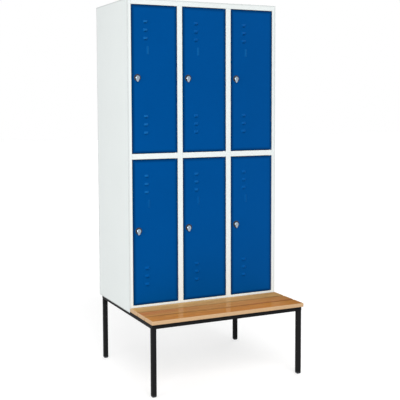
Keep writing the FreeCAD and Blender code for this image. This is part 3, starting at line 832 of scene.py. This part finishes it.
def make_floor(stage):
    """Matt floor that shows the object's shadow, and that the camera sees lighter than it is."""
    mesh = bmesh.new()
    bmesh.ops.create_grid(mesh, x_segments=8, y_segments=8, size=stage.floor_half)
    data = bpy.data.meshes.new("floor")
    mesh.to_mesh(data)
    mesh.free()
    floor = bpy.data.objects.new("floor", data)
    bpy.context.scene.collection.objects.link(floor)
    material = bpy.data.materials.new("pale_floor")
    material.use_nodes = True
    tree = material.node_tree
    shader = tree.nodes["Principled BSDF"]
    shader.inputs["Base Color"].default_value = opaque(stage.floor_colour)
    shader.inputs["Roughness"].default_value = 0.9
    shader.inputs["Specular IOR Level"].default_value = 0.0
    shader.inputs["Emission Color"].default_value = opaque(WHITE)
    lift = number_step(tree, "MULTIPLY", seen_rays(tree), stage.floor_lift)
    feed(tree, shader.inputs["Emission Strength"], lift)
    data.materials.append(material)


def make_sky(stage):
    """Even light from all around, which is white where it is seen."""
    sky = bpy.data.worlds.new("studio")
    sky.use_nodes = True
    tree = sky.node_tree
    background = tree.nodes["Background"]
    background.inputs["Color"].default_value = opaque(WHITE)
    strength = spread(tree, seen_rays(tree), 0.0, 1.0, stage.sky_level, 1.0)
    feed(tree, background.inputs["Strength"], strength)
    bpy.context.scene.world = sky


def even_light(name, heading, height, level, softness):
    """Wide even light from a heading right of the front and a height above the horizon."""
    light = bpy.data.lights.new(name, "SUN")
    light.energy = level * math.pi
    light.angle = softness
    lamp = bpy.data.objects.new(name, light)
    towards = Vector((
        math.sin(heading) * math.cos(height),
        -math.cos(heading) * math.cos(height),
        math.sin(height),
    ))
    lamp.rotation_euler = towards.to_track_quat("Z", "Y").to_euler()
    bpy.context.scene.collection.objects.link(lamp)


def soft_box(name, place, aim, size, level):
    """Square soft box, as bright where it aims as an even light of that level."""
    light = bpy.data.lights.new(name, "AREA")
    light.shape = "SQUARE"
    light.size = size
    away = place - aim
    light.energy = level * (math.pi * away.length) ** 2
    lamp = bpy.data.objects.new(name, light)
    lamp.location = place
    lamp.rotation_euler = away.to_track_quat("Z", "Y").to_euler()
    bpy.context.scene.collection.objects.link(lamp)


def make_camera(stage):
    """Camera at the photograph's place."""
    optics = bpy.data.cameras.new("photo_camera")
    optics.lens = stage.lens
    optics.sensor_width = 36.0
    optics.shift_y = stage.rise
    optics.clip_end = 100.0
    camera = bpy.data.objects.new("photo_camera", optics)
    heading = Matrix.Rotation(-stage.turn, 4, "Z")
    dip = Matrix.Rotation(math.pi / 2 - stage.tilt, 4, "X")
    roll = Matrix.Rotation(stage.roll, 4, "Z")
    camera.matrix_world = Matrix.Translation(stage.eye) @ heading @ dip @ roll
    bpy.context.scene.collection.objects.link(camera)
    bpy.context.scene.camera = camera


# Operators

class LOCKER_OT_carcass(bpy.types.Operator):
    """Paint the folded sheet panels of the carcass"""

    bl_idname = "locker.carcass"
    bl_label = "Carcass"

    def execute(self, context):
        finish = context.scene.locker_finish
        dress(SHEET_PANELS, carcass_coat("carcass_paint", finish.carcass_paint, finish, finish.carcass_edge_shade))
        return {"FINISHED"}


class LOCKER_OT_spot_welds(bpy.types.Operator):
    """Model the rows of spot welds on the back"""

    bl_idname = "locker.spot_welds"
    bl_label = "Spot welds"

    def execute(self, context):
        finish = context.scene.locker_finish
        detail = context.scene.locker_detail
        # Painted shade: the spot welds take a darker copy of the carcass paint, in the carcass edge shade tone
        weld_shade_paint = tinted(finish.carcass_paint, [finish.carcass_edge_shade] * 3)
        material = carcass_coat("spot_weld_shade_paint", weld_shade_paint, finish, 1.0)
        mesh = bmesh.new()
        for place in spot_places(detail.spot_inset, detail.spot_pitch):
            spot_weld(mesh, place, detail.spot_radius, detail.spot_relief)
        new_piece("spot_welds", mesh, material)
        return {"FINISHED"}


class LOCKER_OT_doors(bpy.types.Operator):
    """Paint the six doors"""

    bl_idname = "locker.doors"
    bl_label = "Doors"

    def execute(self, context):
        finish = context.scene.locker_finish
        for name in LOCKERS:
            dress(("door_" + name,), door_coat(name, finish))
        return {"FINISHED"}


class LOCKER_OT_latches(bpy.types.Operator):
    """Finish the turn latches: rosette, knob and latch bar"""

    bl_idname = "locker.latches"
    bl_label = "Turn latches"

    def execute(self, context):
        finish = context.scene.locker_finish
        rosette = moulding("rosette_plastic", finish, finish.rosette_roughness)
        dress(["lock_housing_" + name for name in LOCKERS], rosette)
        dress(["lock_knob_" + name for name in LOCKERS], plating("satin_nickel", finish.nickel, SATIN))
        dress(["lock_cam_" + name for name in LOCKERS], plating("zinc_plate", finish.zinc, DULL))
        return {"FINISHED"}


class LOCKER_OT_steelware(bpy.types.Operator):
    """Finish the coat rails, hinge pins and washers"""

    bl_idname = "locker.steelware"
    bl_label = "Coat rails and hinges"

    def execute(self, context):
        finish = context.scene.locker_finish
        dress(["coat_rail_" + name for name in LOCKERS], plating("bright_zinc", finish.zinc, BRIGHT))
        dress(("hinge_pins", "hinge_washers"), bpy.data.materials["zinc_plate"])
        return {"FINISHED"}


class LOCKER_OT_bench_frame(bpy.types.Operator):
    """Paint the square tubes, lay their weld beads and finish the glides"""

    bl_idname = "locker.bench_frame"
    bl_label = "Bench frame"

    def execute(self, context):
        finish = context.scene.locker_finish
        detail = context.scene.locker_detail
        material = paint(
            "frame_paint", finish.frame_paint, finish.frame_roughness, finish.frame_sheen, finish.frame_cloud,
            (cad_low, cad_high), 1.0, finish.edge_width)
        dress(LEGS + RAILS, material)
        mesh = bmesh.new()
        for start, end in leg_seams(detail.tube_corner) + butt_seams(detail.tube_corner):
            weld_bead(mesh, start, end, detail.weld_radius, detail.weld_pitch)
        beads = new_piece("weld_beads", mesh, material)
        beads.data.shade_smooth()
        dress(("foot_caps",), moulding("glide_plastic", finish, finish.glide_roughness))
        return {"FINISHED"}


class LOCKER_OT_seat(bpy.types.Operator):
    """Finish the three seat slats, each cut from another place of the log"""

    bl_idname = "locker.seat"
    bl_label = "Seat slats"

    def execute(self, context):
        finish = context.scene.locker_finish
        for slat in SLAT_CUTS:
            dress((slat,), lacquered_beech(slat, finish))
        return {"FINISHED"}


class LOCKER_OT_screws(bpy.types.Operator):
    """Model the hexagon screws under the seat, and finish those under the locker"""

    bl_idname = "locker.screws"
    bl_label = "Screws"

    def execute(self, context):
        detail = context.scene.locker_detail
        zinc_plate = bpy.data.materials["zinc_plate"]
        mesh = bmesh.new()
        head_low, tip_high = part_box("slat_screws")
        for rail in SCREWED_RAILS:
            low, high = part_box(rail)
            for slat in SLAT_CUTS:
                place = Vector(((low.x + high.x) / 2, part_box(slat)[1].y - detail.screw_edge, low.z))
                hex_screw(
                    mesh, place, detail.screw_head, place.z - head_low.z,
                    detail.screw_shank, tip_high.z - place.z)
        screws = new_piece("seat_screws", mesh, zinc_plate)
        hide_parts("slat_screws")
        dress(("base_screws",), zinc_plate)
        return {"FINISHED"}


class LOCKER_OT_stage(bpy.types.Operator):
    """Set up the floor, the light and the camera"""

    bl_idname = "locker.stage"
    bl_label = "Stage"

    def execute(self, context):
        stage = context.scene.locker_stage
        context.scene.view_settings.view_transform = "Standard"
        make_floor(stage)
        make_sky(stage)
        even_light("key_light", stage.key_heading, stage.key_height, stage.key_level, stage.softness)
        soft_box("side_box", Vector(stage.box_place), Vector(stage.box_aim), stage.box_size, stage.side_level)
        even_light("rear_light", stage.rear_heading, stage.rear_height, stage.rear_level, stage.softness)
        make_camera(stage)
        return {"FINISHED"}


# Panel and registration

class LOCKER_PT_panel(bpy.types.Panel):
    """Steps that dress the locker, in their order, and their settings"""

    bl_idname = "LOCKER_PT_panel"
    bl_label = "Clothes locker"
    bl_space_type = "VIEW_3D"
    bl_region_type = "UI"
    bl_category = "Locker"

    def draw(self, context):
        for operator in OPERATORS:
            self.layout.operator(operator.bl_idname)
        for settings in ("locker_finish", "locker_detail", "locker_stage"):
            box = self.layout.box()
            group = getattr(context.scene, settings)
            for name in group.__annotations__:
                box.prop(group, name)


OPERATORS = (
    LOCKER_OT_carcass, LOCKER_OT_spot_welds, LOCKER_OT_doors, LOCKER_OT_latches, LOCKER_OT_steelware,
    LOCKER_OT_bench_frame, LOCKER_OT_seat, LOCKER_OT_screws, LOCKER_OT_stage,
)
CLASSES = (LockerFinish, LockerDetail, LockerStage, *OPERATORS, LOCKER_PT_panel)


def register():
    for item in CLASSES:
        bpy.utils.register_class(item)
    bpy.types.Scene.locker_finish = bpy.props.PointerProperty(type=LockerFinish)
    bpy.types.Scene.locker_detail = bpy.props.PointerProperty(type=LockerDetail)
    bpy.types.Scene.locker_stage = bpy.props.PointerProperty(type=LockerStage)


def unregister():
    del bpy.types.Scene.locker_stage
    del bpy.types.Scene.locker_detail
    del bpy.types.Scene.locker_finish
    for item in reversed(CLASSES):
        bpy.utils.unregister_class(item)


def main():
    register()
    bpy.ops.locker.carcass()
    bpy.ops.locker.spot_welds()
    bpy.ops.locker.doors()
    bpy.ops.locker.latches()
    bpy.ops.locker.steelware()
    bpy.ops.locker.bench_frame()
    bpy.ops.locker.seat()
    bpy.ops.locker.screws()
    bpy.ops.locker.stage()


if __name__ == "__main__":
    main()
